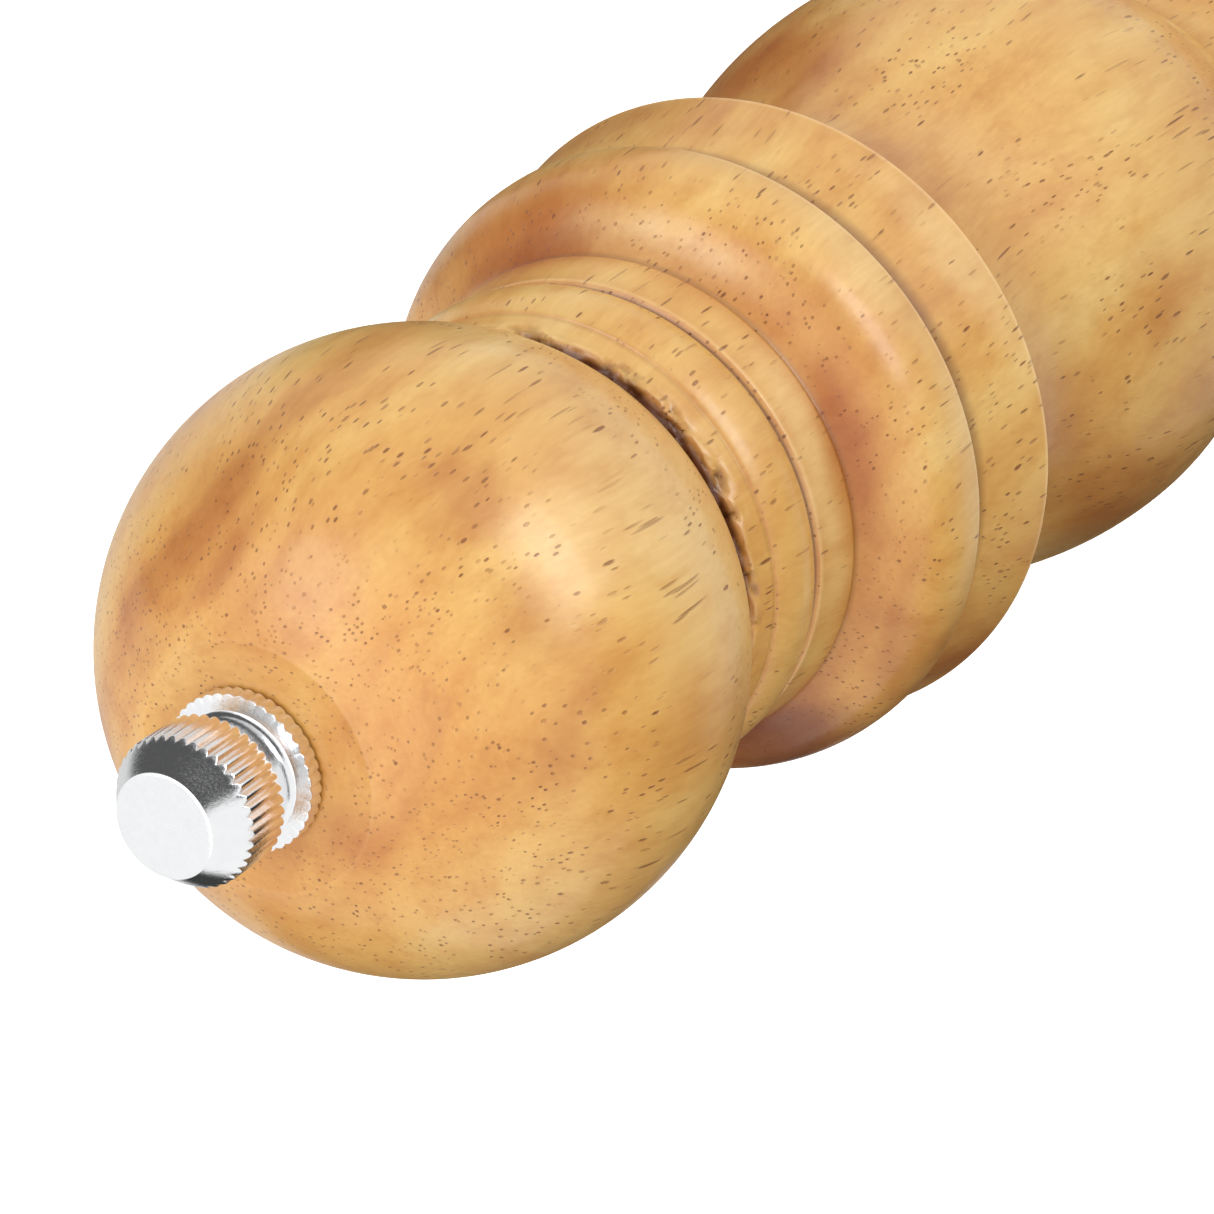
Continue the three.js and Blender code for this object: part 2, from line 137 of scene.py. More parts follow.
def bends(points, reach):
    """How sharply a closed outline turns near each point: positive on edges, negative in grooves."""
    p = np.array(points)
    ahead = np.roll(p, -1, axis=0) - p
    back = p - np.roll(p, 1, axis=0)
    cross = back[:, 0] * ahead[:, 1] - back[:, 1] * ahead[:, 0]
    turn = np.arctan2(cross, (back * ahead).sum(axis=1))
    place = np.concatenate([[0], np.cumsum(np.linalg.norm(ahead, axis=1))])[:-1]
    spread = np.exp(-(((place[:, None] - place[None, :]) / reach) ** 2))
    return np.clip(spread @ turn, -1.5, 1.5)


# ---------------------------------------------------------------- meshes

def finish_mesh(obj, material, slot, body, *nodes, smooth=30):
    """Shades a piece, gives it its material, and hangs it on a CAD body in place of CAD nodes."""
    obj.data.shade_smooth()
    obj.data.set_sharp_from_angle(angle=math.radians(smooth))
    obj.data.materials.clear()
    obj.data.materials.append(material)
    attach(obj, body)
    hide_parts(*nodes)
    return obj


def weld(obj, distance=1e-6):
    """Merges doubled points, drops empty faces and turns every face outward."""
    bm = bmesh.new()
    bm.from_mesh(obj.data)
    bmesh.ops.remove_doubles(bm, verts=bm.verts, dist=distance)
    bmesh.ops.dissolve_degenerate(bm, edges=bm.edges, dist=distance)
    bmesh.ops.recalc_face_normals(bm, faces=bm.faces)
    bm.to_mesh(obj.data)
    bm.free()


def sweep(name, rings, closed=True, marks=None):
    """A skin through rings of points in mm: rings[level][side]. closed joins the last to the first."""
    rings = np.asarray(rings, float)
    levels, sides = rings.shape[:2]
    faces = []
    for level in range(levels if closed else levels - 1):
        low = level * sides
        high = (level + 1) % levels * sides
        for side in range(sides):
            following = (side + 1) % sides
            faces.append((low + side, low + following, high + following, high + side))
    mesh = bpy.data.meshes.new(name)
    mesh.from_pydata((rings.reshape(-1, 3) * MM).tolist(), [], faces)
    for mark, values in (marks or {}).items():
        attribute = mesh.attributes.new(mark, "FLOAT", "POINT")
        attribute.data.foreach_set("value", values.reshape(-1).astype(np.float32))
    obj = bpy.data.objects.new(name, mesh)
    bpy.context.scene.collection.objects.link(obj)
    weld(obj)
    return obj


def around(sides):
    return np.arange(sides) * 2 * math.pi / sides


def rings_of(levels, sides, centre=(0, 0)):
    """Rings from (radius, height) levels, where either may vary round the ring."""
    angles = around(sides)
    even = np.ones(sides)
    return [
        np.stack(
            [
                centre[0] + radius * even * np.cos(angles),
                centre[1] + radius * even * np.sin(angles),
                height * even,
            ],
            axis=-1,
        )
        for radius, height in levels
    ]


def turned(name, points, change, sides=SIDES):
    """Revolves an outline, marking its edges and hollows. change(rings, edge marks) moves points."""
    rings = np.array(rings_of(points, sides))
    marks = {
        "edge": np.repeat(bends(points, 0.4)[:, None], sides, axis=1),
        "hollow": np.repeat(bends(points, 2.5)[:, None], sides, axis=1),
    }
    change(rings, marks["edge"])
    return sweep(name, rings, marks=marks)


def smoothly(value, low, high):
    t = min(1, max(0, (value - low) / (high - low)))
    return t * t * (3 - 2 * t)


# ---------------------------------------------------------------- shader helpers

def tone(red, green, blue):
    """A linear colour from 0 to 255 display values."""
    channels = []
    for value in (red, green, blue):
        c = value / 255
        channels.append(c / 12.92 if c <= 0.04045 else ((c + 0.055) / 1.055) ** 2.4)
    return (*channels, 1)


class Material:
    """A material's node tree, with short calls for the nodes that it needs."""

    def __init__(self, name):
        self.data = bpy.data.materials.new(name)
        self.data.use_nodes = True
        self.tree = self.data.node_tree
        self.shader = self.tree.nodes["Principled BSDF"]

    def node(self, kind, inputs=None, **settings):
        made = self.tree.nodes.new("ShaderNode" + kind)
        for key, value in settings.items():
            setattr(made, key, value)
        for key, value in (inputs or {}).items():
            self.set(made.inputs[key], value)
        return made

    def set(self, socket, value):
        if isinstance(value, bpy.types.NodeSocket):
            self.tree.links.new(value, socket)
        else:
            socket.default_value = value

    def surface(self, **values):
        for key, value in values.items():
            self.set(self.shader.inputs[key.replace("_", " ")], value)

    def millimetres(self):
        coordinates = self.node("TexCoord").outputs["Object"]
        return self.scaled(coordinates, 1 / MM, 1 / MM, 1 / MM)

    def scaled(self, vector, x, y, z):
        return self.node("Mapping", {"Vector": vector, "Scale": (x, y, z)}).outputs[0]

    def math(self, operation, first, second=0.5, clamp=False):
        made = self.node("Math", {0: first, 1: second}, operation=operation, use_clamp=clamp)
        return made.outputs[0]

    def remap(self, value, low, high, to_low=0.0, to_high=1.0, smooth=False):
        made = self.node(
            "MapRange",
            {"Value": value, "From Min": low, "From Max": high, "To Min": to_low, "To Max": to_high},
            interpolation_type="SMOOTHSTEP" if smooth else "LINEAR",
        )
        return made.outputs[0]

    def noise(self, vector, scale, detail=3.0, roughness=0.5, output=0):
        inputs = {"Vector": vector, "Scale": scale, "Detail": detail, "Roughness": roughness}
        return self.node("TexNoise", inputs).outputs[output]

    def mix(self, factor, first, second, blend="MIX"):
        made = self.node("Mix", {0: factor, 6: first, 7: second}, data_type="RGBA", blend_type=blend)
        return made.outputs[2]

    def ramp(self, factor, stops):
        made = self.node("ValToRGB", {0: factor})
        elements = made.color_ramp.elements
        while len(elements) < len(stops):
            elements.new(0.5)
        for element, (position, colour) in zip(elements, stops):
            element.position = position
            element.color = colour
        return made.outputs[0]

    def bump(self, height, distance, strength=1.0, normal=None):
        inputs = {"Height": height, "Distance": distance, "Strength": strength}
        if normal is not None:
            inputs["Normal"] = normal
        return self.node("Bump", inputs).outputs[0]


# ---------------------------------------------------------------- materials

def pores(material, grain, width, length, radius, share):
    """Open pores: thin streaks along the grain, and small pits where it is cut across.

    width and length are those of a cell in mm, and share is how many of the cells hold a pore.
    """
    cells = material.scaled(grain, 1 / width, 1 / width, 1 / length)
    cell = material.node("TexVoronoi", {"Vector": cells, "Scale": 1.0}, feature="F1")
    chance = material.node("SeparateColor", {0: cell.outputs["Color"]})
    near = material.remap(cell.outputs["Distance"], radius, 0.5 * radius, smooth=True)
    kept = material.math("LESS_THAN", chance.outputs[0], share)
    depth = material.remap(chance.outputs[1], 0, 1, 0.3, 1)
    return material.math("MULTIPLY", material.math("MULTIPLY", near, kept), depth)


# Soft patches of darker and paler wood, some of them painted shade and painted light: centre in mm, size
# across and along the grain, strength.
DARK_WOOD_AND_SHADE_PATCHES = [
    ((5.5, -21.5, 193), 3.0, 4.5, 0.55),  # brown band on the ball's side
    ((-3.5, -20.5, 194), 3.4, 4.0, 0.4),
    ((9.4, -19.8, 192.5), 1.0, 0.8, 0.9),  # small dark spot
    ((-12.8, -16, 194.7), 3.0, 2.4, 0.4),
    ((13, 3, 202), 4.5, 3.0, 0.35),  # beside the knob
    ((-9.5, -4, 203), 4.0, 3.0, 0.55),
    ((21, -6, 146), 9.0, 8.0, 1.0),  # skirt
    ((-8, -20, 149), 8.0, 3.0, 0.5),
    ((-5, -22.5, 147.2), 15.0, 2.2, 0.4),
    # painted shade: the ball's shadow on the skirt's -X side
    ((-23, 5, 145), 9.0, 7.0, 1.0),
    ((22, -8, 131), 9.0, 5.0, 0.7),  # shoulder ring
    ((23, -6, 104), 10.0, 9.0, 1.0),  # bulb
    ((-12, -22, 102), 6.0, 5.0, 0.4),
    # darker wood and painted shade on the shaded -X side
    ((-26, -3, 100), 7.0, 12.0, 0.7),
    ((-27, -3, 132), 7.0, 6.0, 0.6),
    ((-18, -19, 118), 9.0, 8.0, 0.5),
]
PALE_WOOD_AND_LIGHT_PATCHES = [
    ((0.5, -25, 178), 10.0, 11.0, 0.8),  # the ball's side
    ((-18.5, 0, 198), 5.0, 2.0, 0.5),
    ((-10, -22, 178), 9.0, 9.0, 0.5),
    ((4, -26, 141), 9.0, 3.5, 1.0),  # skirt rim: paler wood, with painted light against the shade at its lower right
    ((-13, -23, 141), 9.0, 3.5, 1.0),
    ((15, -15.5, 148), 10.0, 2.2, 1.2),  # painted highlight in the cove beside the collar
    ((-6, -20, 152.5), 11.0, 3.0, 0.9),  # collar
    ((0, -27, 130), 12.0, 3.5, 0.9),  # shoulder ring
    ((8, -21, 112), 7.0, 6.0, 0.5),
]
PAINTED_SHADE_PATCHES = [  # painted shade: much darker patches in the same form, where shade falls on the skirt and bulb
    ((-24.5, 5, 145.5), 8.0, 5.5, 1.0),  # skirt, where the ball's shadow falls
    ((-26, -1, 101), 6.0, 8.0, 0.35),  # bulb
    ((25, 4, 145), 5.0, 5.0, 0.4),  # the skirt's other side
]


def patchiness(material, place, patches):
    """How far a place is inside the patches, from 0 to 1."""
    total = 0.0
    for centre, across, along, strength in patches:
        size = (1 / across, 1 / across, 1 / along)
        shift = tuple(-c * k for c, k in zip(centre, size))
        inside = material.node("Mapping", {"Vector": place, "Location": shift, "Scale": size})
        away = material.node("VectorMath", {0: inside.outputs[0]}, operation="LENGTH")
        near = material.remap(away.outputs["Value"], 1.3, 0.2, 0, strength, smooth=True)
        total = material.math("ADD", near, total)
    return material.math("MINIMUM", total, 1.0)


def wavering(material, place, scale, amount, stretch=1.0):
    """The place, pushed sideways by slow noise."""
    push = material.noise(material.scaled(place, 1, 1, stretch), scale, 2, output=1)
    push = material.node("VectorMath", {0: push, 1: (0.5, 0.5, 0.5)}, operation="SUBTRACT").outputs[0]
    push = material.node("VectorMath", {0: push, 1: amount}, operation="MULTIPLY").outputs[0]
    return material.node("VectorMath", {0: place, 1: push}, operation="ADD").outputs[0]


def wood():
    """Honey-coloured hardwood under satin lacquer, with its grain along Z."""
    m = Material("honey_wood")
    place = m.millimetres()
    grain = wavering(m, place, scale=0.03, amount=(14, 14, 0), stretch=0.4)

    # shells of growth round a pith that lies outside the mill
    pith = m.node("Mapping", {"Vector": grain, "Location": (62, 34, 0), "Scale": (1, 1, 0)})
    distance = m.node("VectorMath", {0: pith.outputs[0]}, operation="LENGTH").outputs["Value"]
    shells = m.node(
        "TexNoise",
        {"W": m.math("MULTIPLY", distance, 0.16), "Scale": 1.0, "Detail": 2.0, "Roughness": 0.5},
        noise_dimensions="1D",
    ).outputs[0]
    clouds = m.noise(m.scaled(grain, 1, 1, 0.5), 0.055, 2, 0.5)
    figure = m.math("ADD", m.math("MULTIPLY", shells, 0.35), m.math("MULTIPLY", clouds, 0.65))
    colour = m.ramp(
        figure,
        [
            (0.32, tone(230, 194, 124)),
            (0.44, tone(224, 180, 104)),
            (0.55, tone(215, 162, 86)),
            (0.68, tone(190, 128, 60)),
        ],
    )

    # wood cut across the grain takes up more stain
    facing = m.node("SeparateXYZ", {0: m.node("TexCoord").outputs["Normal"]}).outputs[2]
    across = m.remap(m.math("ABSOLUTE", facing), 0.4, 0.95, 0, 0.6, smooth=True)
    colour = m.mix(across, colour, m.mix(1.0, colour, tone(247, 222, 186), "MULTIPLY"))

    uneven = wavering(m, place, scale=0.11, amount=(7, 7, 7))
    # darker wood, and painted shade on the mill's shaded -X side
    dark = m.math("MULTIPLY", patchiness(m, uneven, DARK_WOOD_AND_SHADE_PATCHES), 0.9)
    colour = m.mix(dark, colour, m.mix(1.0, colour, tone(206, 156, 100), "MULTIPLY"))
    # painted shade: much darker brown where the ball's shadow and the far side's shade fall
    painted_shade = m.math("MULTIPLY", patchiness(m, uneven, PAINTED_SHADE_PATCHES), 0.75)
    colour = m.mix(painted_shade, colour, tone(112, 62, 26))
    # paler wood, with painted light on the skirt rim and a painted highlight in the cove
    pale_and_lit = m.math("MULTIPLY", patchiness(m, uneven, PALE_WOOD_AND_LIGHT_PATCHES), 0.6)
    colour = m.mix(pale_and_lit, colour, tone(231, 196, 136))

    fibre = m.noise(m.scaled(grain, 1, 1, 0.05), 2.4, 2, 0.6)
    streaked = m.mix(1.0, colour, tone(230, 206, 180), "MULTIPLY")
    colour = m.mix(m.remap(fibre, 0.35, 0.7, 0, 0.26), colour, streaked)
    mottle = m.noise(m.scaled(grain, 1, 1, 0.4), 0.4, 3, 0.6)
    browned = m.mix(1.0, colour, tone(226, 194, 144), "MULTIPLY")
    colour = m.mix(m.remap(mottle, 0.46, 0.7, 0, 0.4), colour, browned)

    short = pores(m, grain, width=0.46, length=10.5, radius=0.27, share=0.62)
    long = pores(m, grain, width=1.2, length=20.0, radius=0.13, share=0.9)
    cluster = m.remap(m.noise(m.scaled(grain, 1, 1, 0.3), 0.14, 2), 0.4, 0.55)
    cluster = m.math("MAXIMUM", cluster, across)
    pits = m.math("MAXIMUM", m.math("MULTIPLY", short, cluster), long)
    colour = m.mix(m.math("MULTIPLY", pits, 0.9), colour, tone(132, 74, 30))

    # darker in hollows and coves: stain, and painted shade where less light reaches
    hollow = m.node("Attribute", attribute_name="hollow").outputs["Fac"]
    stain_and_shade = m.mix(1.0, colour, tone(216, 166, 112), "MULTIPLY")
    colour = m.mix(m.remap(hollow, -0.1, -1.0, 0, 0.75), colour, stain_and_shade)
    edge = m.node("Attribute", attribute_name="edge").outputs["Fac"]
    colour = m.mix(m.remap(edge, 0.3, 1.2, 0, 0.5), colour, tone(248, 214, 160))
    # painted shade: dark brown in sharp grooves, along the split and in the torn neck
    colour = m.mix(m.remap(edge, -0.25, -2.0, 0, 0.95), colour, tone(98, 50, 18))

    roughness = m.remap(m.noise(place, 1.6, 2), 0.3, 0.7, 0.38, 0.48)
    relief = m.math("SUBTRACT", m.math("MULTIPLY", fibre, 0.06), pits)
    normal = m.bump(relief, 0.0002, 0.7)
    normal = m.bump(m.noise(place, 0.25, 1), 0.0007, 0.25, normal)
    m.surface(Base_Color=colour, Roughness=roughness, Normal=normal)
    m.surface(IOR=1.5, Coat_Weight=0.45, Coat_Roughness=0.2)
    return m.data


def chrome():
    """Bright plated metal with faint handling marks."""
    m = Material("bright_chrome")
    place = m.millimetres()
    smudge = m.noise(place, 0.9, 4, 0.6)
    speckle = m.noise(place, 4.0, 4, 0.75)
    scuffs = m.remap(speckle, 0.5, 0.68, 0.03, 0.22)
    m.surface(
        Base_Color=m.mix(smudge, (0.84, 0.85, 0.86, 1), (0.92, 0.925, 0.93, 1)),
        Metallic=1.0,
        Roughness=scuffs,
        Normal=m.bump(speckle, 0.00003, 0.6),
    )
    return m.data


def metal(name, light, dark, rough, stretch):
    """Machined metal, with tool lines along the least stretched direction."""
    m = Material(name)
    place = m.millimetres()
    lines = m.noise(m.scaled(place, *stretch), 3.0, 3, 0.6)
    stain = m.noise(place, 0.35, 4, 0.6)
    colour = m.mix(m.remap(stain, 0.35, 0.7), light, dark)
    roughness = m.remap(lines, 0.3, 0.7, rough - 0.08, rough + 0.08)
    m.surface(
        Base_Color=colour,
        Metallic=1.0,
        Roughness=roughness,
        Normal=m.bump(lines, 0.00004, 0.5),
    )
    return m.data


def nylon():
    m = Material("natural_nylon")
    place = m.millimetres()
    mottle = m.noise(place, 0.8, 3)
    m.surface(
        Base_Color=m.mix(mottle, tone(236, 232, 220), tone(222, 216, 200)),
        Roughness=m.remap(mottle, 0.3, 0.7, 0.42, 0.55),
        Normal=m.bump(m.noise(place, 6.0, 2), 0.00003, 0.4),
        IOR=1.53,
    )
    return m.data


WOOD = wood()
CHROME = chrome()
STEEL = metal("bright_steel", (0.68, 0.69, 0.7, 1), (0.52, 0.53, 0.54, 1), 0.3, (0.15, 1, 1))
BURR_STEEL = metal("dark_burr_steel", (0.4, 0.41, 0.43, 1), (0.26, 0.27, 0.29, 1), 0.42, (1, 1, 0.2))
NYLON = nylon()


# ---------------------------------------------------------------- turned wood

def ball_point(radius, upper):
    """The angle on the ball, from the horizontal, where it has that radius."""
    angle = math.acos(radius / BALL["radius"])
    return angle if upper else -angle


def head_outline():
    seat = 203.9  # flat under the knob
    bore = 4.2
    tenon = 13.2
    tenon_bottom = 126.5
    outline = Outline(bore, tenon_bottom)
    outline.line(tenon - 0.5, tenon_bottom, 2).line(tenon, tenon_bottom + 0.5)
    outline.line(tenon, HEAD_BOTTOM, 1.5)
    outline.line(26.5, HEAD_BOTTOM, 1.5).line(26.7, HEAD_BOTTOM + 0.3)
    outline.curve((26.8, 141.8), (26.4, 144.5), (24.3, 146.4))  # rounded skirt
    outline.curve((23.1, 147.4), (21.7, 148.1), (20.7, 149.6))  # cove up to the collar
    outline.line(20.9, 150.1).line(20.35, 154.4).line(19.8, 154.7)
    outline.step = 0.3
    outline.curve((21.3, 156.4), (20.9, 159.2), (19.9, 160.7))  # small bead
    outline.line(19.7, 160.8)
    outline.step = 0.18
    outline.line(19.25, 163.2).line(17.8, 164).line(17.5, 165.1)
    outline.step = 0.45
    outline.ellipse(
        BALL["radius"],
        BALL["half_height"],
        BALL["centre"],
        ball_point(UNDERCUT_RADIUS, False),
        ball_point(CREASE_RADIUS, True),
    )
    rim = outline.points[-1][1]
    outline.line(9.9, rim + 0.12).line(9.3, rim + 0.08)  # low ridge round the flattened top
    outline.line(6.5, seat).line(bore, seat).line(bore, tenon_bottom + 0.5, 3)
    return outline.rounded(EDGE)


def head_details(rings, marks):
    """Torn grain in the neck's groove, marked dark with painted shade, and the ball turned a little off
    the axis.
    """
    for level, ring in enumerate(rings):
        height = ring[0][2]
        radius = math.hypot(ring[0][0], ring[0][1])
        ragged = smoothly(height, 161.8, 163.4) if height < 165.3 and 17 < radius < 19.7 else 0
        aside = smoothly(height, 165.2, 166.4) * smoothly(radius, 6.6, 9.4) * OFF_CENTRE
        for side, (x, y, z) in enumerate(ring):
            if ragged > 0:
                tear = noise.noise(Vector((x * 0.55, y * 0.55, z * 0.5)))
                chip = noise.noise(Vector((x * 1.9, y * 1.9, z * 1.3 + 40)))
                drop = max(0, 0.3 + tear + 0.7 * chip) * 0.9 * ragged
                rings[level, side] *= (1 - drop / radius, 1 - drop / radius, 1)
                rings[level, side, 2] -= 0.5 * max(0, chip + tear) * ragged
                # painted shade: darker marks in the torn groove, deepest near the ball
                marks[level, side] -= 3 * drop + 2.6 * smoothly(z, 163, 163.9)
            rings[level, side, 0] -= aside


def body_outline():
    socket = 13.6  # round the head's tenon
    chamber = 12.5  # for the peppercorns
    burr_room = 18
    burr_room_top = 18.7
    recess = 24  # under the foot
    recess_top = 4.5
    outline = Outline(recess, 0, 0.7)
    outline.line(28.6, 0).line(29.6, 0.9)
    outline.curve((31, 4), (31, 10), (29.4, 14))  # rounded foot
    outline.line(28, 15).line(27.2, 16.2)
    outline.curve((21, 20.5), (17.4, 28), (17.2, 40.5))  # flare
    outline.line(18, 41.4)
    outline.curve((20.6, 43.2), (20.6, 48.2), (18, 50))  # bead above the flare
    outline.line(16.9, 50.8)
    outline.curve((15.9, 53.6), (15.7, 57), (16.2, 59.2))  # waist
    outline.line(17.2, 60.5)
    outline.curve((19.6, 68), (27.4, 76), (27.4, 88))  # bulb, lower half
    outline.curve((27.4, 101.5), (22.5, 108.5), (21.8, 115))  # bulb, upper half
    outline.step = 0.5
    outline.curve((21.6, 120), (23, 124), (26.2, 127.4))  # cove under the shoulder ring
    outline.line(27.5, 128.4)
    outline.curve((27, 131.2), (26.2, 134.8), (25.1, BODY_TOP))  # shoulder ring
    outline.line(socket, BODY_TOP, 1.5).line(socket, 121.5, 1.5).line(chamber, 120.5, 1.5)
    outline.line(chamber, burr_room_top, 3).line(burr_room, burr_room_top, 2)
    outline.line(burr_room, recess_top, 2).line(recess, recess_top, 2).line(recess, 0.9, 2)
    return outline.rounded(EDGE)


def painted_split_shade(rings, marks):
    """Painted shade on the shoulder ring beside the split, where the skirt's edge shades it."""
    for level, ring in enumerate(rings):
        marks[level] -= 1.5 * smoothly(ring[0][2], 135.6, 137.8)


def wooden_parts():
    head = turned("turned_head", head_outline().points, change=head_details)
    finish_mesh(head, WOOD, "wood", "head", "head_wood", smooth=50)
    body = turned("turned_body", body_outline().points, change=painted_split_shade)
    finish_mesh(body, WOOD, "wood", "mill_body", "body_wood", smooth=50)


# ---------------------------------------------------------------- knob

KNOB = {
    "teeth": 40,
    "seat": 204.1,
    "flange_top": 205.5,
    "barrel_bottom": 208.4,
    "cone_bottom": 212.4,
    "face": 4.1,
    "tip": 5.95,
    "root": 5.66,
    "flange_tip": 6.25,
    "flange_root": 6.08,
    "neck": 4.5,
    "bore": 2.6,
    "bore_top": 213.1,
}


def knurled(angles, teeth, tip, root):
    """Radii of straight knurling: rounded ribs between V grooves."""
    return root + (tip - root) * np.abs(np.cos(angles * teeth / 2))


def finial_nut():
    sides = KNOB["teeth"] * 12
    angles = around(sides)
    barrel = knurled(angles, KNOB["teeth"], KNOB["tip"], KNOB["root"])
    flange = knurled(angles, KNOB["teeth"], KNOB["flange_tip"], KNOB["flange_root"])
    slope = (TOTAL_HEIGHT - KNOB["cone_bottom"]) / (KNOB["tip"] - KNOB["face"])
    cone_cut = KNOB["cone_bottom"] + (KNOB["tip"] - barrel) * slope
    seat = KNOB["seat"]
    flange_top = KNOB["flange_top"]
    barrel_bottom = KNOB["barrel_bottom"]
    levels = [
        (KNOB["bore"], seat),
        (KNOB["flange_root"] - 0.2, seat),
        (flange - 0.06, seat + 0.02),
        (flange, seat + 0.1),
        (flange, flange_top - 0.06),
        (flange - 0.02, flange_top - 0.01),
        (flange - 0.06, flange_top),
        (KNOB["neck"] + 0.45, flange_top + 0.03),
    ]
    middle = (flange_top + barrel_bottom) / 2
    half = (barrel_bottom - flange_top) / 2
    for i in range(-7, 8):
        t = i / 7
        levels.append((KNOB["neck"] + 0.42 * t**4, middle + 0.97 * t * half))
    levels += [
        (KNOB["root"] - 0.12, barrel_bottom),
        (barrel - 0.04, barrel_bottom + 0.08),
        (barrel, barrel_bottom + 0.2),
        (barrel, barrel_bottom + 2.2),
        (barrel, cone_cut - 0.06),
        (barrel - 0.04, cone_cut + 0.04),
    ]
    join = KNOB["cone_bottom"] + (KNOB["tip"] - KNOB["root"]) * slope + 0.2
    for i in range(5):
        height = join + (TOTAL_HEIGHT - 0.1 - join) * i / 4
        levels.append((KNOB["face"] + (TOTAL_HEIGHT - height) / slope, height))
    levels += [
        (KNOB["face"] + 0.03, TOTAL_HEIGHT - 0.03),
        (KNOB["face"] - 0.05, TOTAL_HEIGHT),
        (KNOB["face"] - 0.3, TOTAL_HEIGHT),
        (2, TOTAL_HEIGHT),
        (0, TOTAL_HEIGHT),
        (0, KNOB["bore_top"]),
        (KNOB["bore"] - 0.3, KNOB["bore_top"]),
        (KNOB["bore"], KNOB["bore_top"] - 0.3),
    ]
    nut = sweep("knurled_nut", rings_of(levels, sides))
    finish_mesh(nut, CHROME, "chrome", "knob", "finial_nut", smooth=24)


# ---------------------------------------------------------------- steel and nylon parts

THREAD_PITCH = 0.8  # of the knob's thread
SCREW_PITCH = 1.1  # of the wood screws
BURR_SLOPE = 2.5 / 5.7  # radius lost per mm of height on the lower teeth of both burrs
KEYED_BORE = 5.3  # across the square holes that fit round the shaft


def square_hole(angles, width):
    return width / 2 / np.maximum(np.abs(np.cos(angles)), np.abs(np.sin(angles)))


def square_bar(angles, width, corner_cut):
    diagonal = (width - corner_cut) / (np.abs(np.cos(angles)) + np.abs(np.sin(angles)))
    return np.minimum(square_hole(angles, width), diagonal)


def cross_recess(angles, length, width):
    c = np.maximum(np.abs(np.cos(angles)), 1e-6)
    s = np.maximum(np.abs(np.sin(angles)), 1e-6)
    along_x = np.minimum(length / 2 / c, width / 2 / s)
    along_y = np.minimum(length / 2 / s, width / 2 / c)
    return np.maximum(along_x, along_y)


def thread(angles, height, pitch, root, tip):
    """Radii of a helical V thread at one height."""
    phase = (height / pitch - angles / (2 * math.pi)) % 1
    return root + (tip - root) * (1 - np.abs(2 * phase - 1))


def toothed(angles, teeth, tip, root, twist):
    """Radii of V teeth, with a narrow land on each tip."""
    phase = (angles - twist) * teeth / (2 * math.pi) % 1
    return root + (tip - root) * np.minimum(1, 1.12 * np.abs(2 * phase - 1))


def part(name, levels, sides, material, slot, body, node, centre=(0, 0), smooth=30):
    """A piece through rings of (radius, height), which stands for one CAD node."""
    rings = rings_of(levels, sides, centre)
    on_axis = np.max(levels[0][0]) < 1e-6 and np.max(levels[-1][0]) < 1e-6
    piece = sweep(name, rings, closed=not on_axis)
    return finish_mesh(piece, material, slot, body, node, smooth=smooth)


def soft_corners(points, size=0.12):
    outline = Outline(*points[0])
    for radius, height in points[1:]:
        outline.line(radius, height, 9)
    return outline.rounded(size).points


def machined(node, name, body, width=0.14):
    """The CAD shape of a flat steel piece, with its sharp edges broken."""
    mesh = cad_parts[node].data.copy()
    piece = bpy.data.objects.new(name, mesh)
    bpy.context.scene.collection.objects.link(piece)
    bm = bmesh.new()
    bm.from_mesh(mesh)
    bmesh.ops.remove_doubles(bm, verts=bm.verts, dist=1e-6)
    bmesh.ops.dissolve_limit(
        bm, angle_limit=math.radians(1), use_dissolve_boundaries=False, verts=bm.verts, edges=bm.edges
    )
    sharp = [e for e in bm.edges if e.is_manifold and e.calc_face_angle() > math.radians(50)]
    bmesh.ops.bevel(
        bm, geom=sharp, offset=width * MM, segments=2, profile=0.5, affect="EDGES", clamp_overlap=True
    )
    bmesh.ops.triangulate(bm, faces=[f for f in bm.faces if len(f.verts) > 4])
    bm.to_mesh(mesh)
    bm.free()
    return finish_mesh(piece, STEEL, "steel", body, node, smooth=35)


def middle_of(node):
    """A CAD node's centre, in mm, and the heights of its lowest and highest points."""
    low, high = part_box(node)
    centre = ((low[0] + high[0]) / 2 / MM, (low[1] + high[1]) / 2 / MM)
    return centre, low[2] / MM, high[2] / MM


def wood_screw(name, body, node, head_radius, head_height, shank_radius):
    centre, bottom, top = middle_of(node)
    sides = 48
    angles = around(sides)
    recess = cross_recess(angles, 1.15 * head_radius, 0.28 * head_radius)
    seat = bottom + head_height
    levels = [(0, bottom + 0.6 * head_height), (0.85 * recess, bottom + 0.6 * head_height)]
    levels += [(recess, bottom + 0.05), (recess + 0.05, bottom)]
    for i in range(1, 9):
        turn = i / 8 * math.pi / 2
        radius = 0.72 * head_radius + 0.28 * head_radius * math.sin(turn)
        levels.append((radius, bottom + 0.85 * head_height * (1 - math.cos(turn))))
    levels += [(head_radius, seat - 0.06), (head_radius - 0.06, seat), (shank_radius, seat)]
    count = round((top - 1.6 - seat) / SCREW_PITCH * 8)
    for i in range(count + 1):
        height = seat + 0.3 + (top - 1.9 - seat) * i / count
        radius = thread(angles, height, SCREW_PITCH, 0.7 * shank_radius, shank_radius)
        levels.append((radius, height))
    levels.append((0.35 * shank_radius, top - 0.5))
    levels.append((0, top))
    part(name, levels, sides, STEEL, "steel", body, node, centre)


